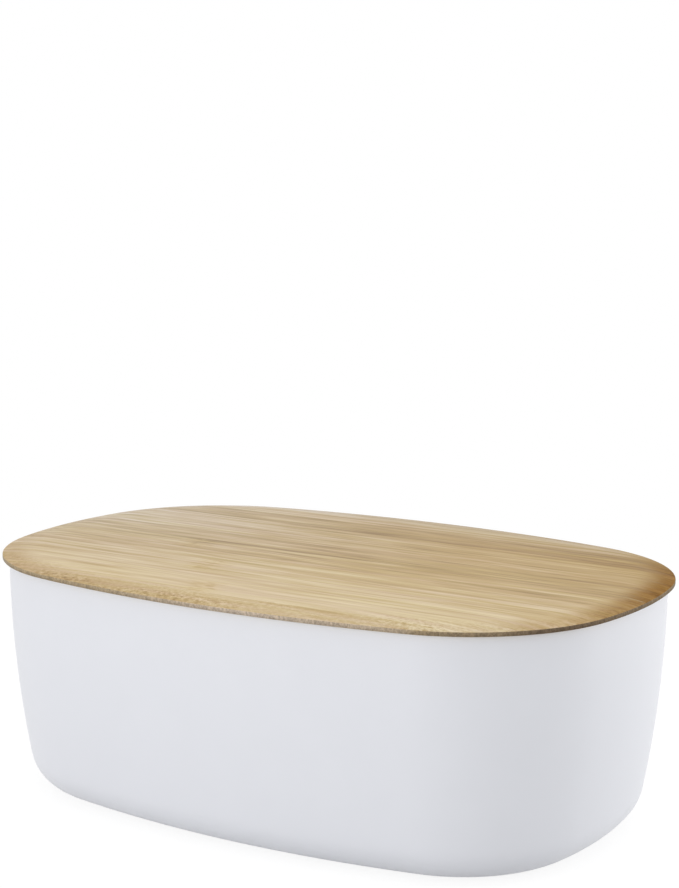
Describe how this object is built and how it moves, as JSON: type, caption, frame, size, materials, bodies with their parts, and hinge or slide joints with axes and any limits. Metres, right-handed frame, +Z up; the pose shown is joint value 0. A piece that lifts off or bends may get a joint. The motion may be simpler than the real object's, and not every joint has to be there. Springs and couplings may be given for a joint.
{
  "type": "bread box",
  "caption": "Bread box: a white moulded tub with bowed walls and round corners, closed by a lift-off lid of laminated bamboo strips that seats in the rim on a soft seal.",
  "frame": {"origin": "on the surface that the tub stands on, at the middle of the plan", "axes": "+X along the length, +Y to the back, +Z up, the way the lid lifts off"},
  "size_m": [0.345, 0.23, 0.125],
  "materials": {
    "tub": "satin",
    "bamboo": "oiled, satin",
    "seal": "matte silicone"
  },
  "bodies": {
    "tub": {"tub": "tub"},
    "lid": {"seal": "seal", "lid_base_strip_01": "bamboo", "lid_base_strip_02": "bamboo", "lid_base_strip_03": "bamboo", "lid_base_strip_04": "bamboo", "lid_base_strip_05": "bamboo", "lid_base_strip_06": "bamboo", "lid_base_strip_07": "bamboo", "lid_base_strip_08": "bamboo", "lid_base_strip_09": "bamboo", "lid_base_strip_10": "bamboo", "lid_base_strip_11": "bamboo", "lid_top_strip_01": "bamboo", "lid_top_strip_02": "bamboo", "lid_top_strip_03": "bamboo", "lid_top_strip_04": "bamboo", "lid_top_strip_05": "bamboo", "lid_top_strip_06": "bamboo", "lid_top_strip_07": "bamboo", "lid_top_strip_08": "bamboo", "lid_top_strip_09": "bamboo", "lid_top_strip_10": "bamboo", "lid_top_strip_11": "bamboo", "lid_top_strip_12": "bamboo"}
  },
  "joints": [
    {"name": "lid_lift", "type": "slide", "parent": "tub", "child": "lid", "axis": [0, 0, 1], "range_m": [0, 0.15]}
  ]
}
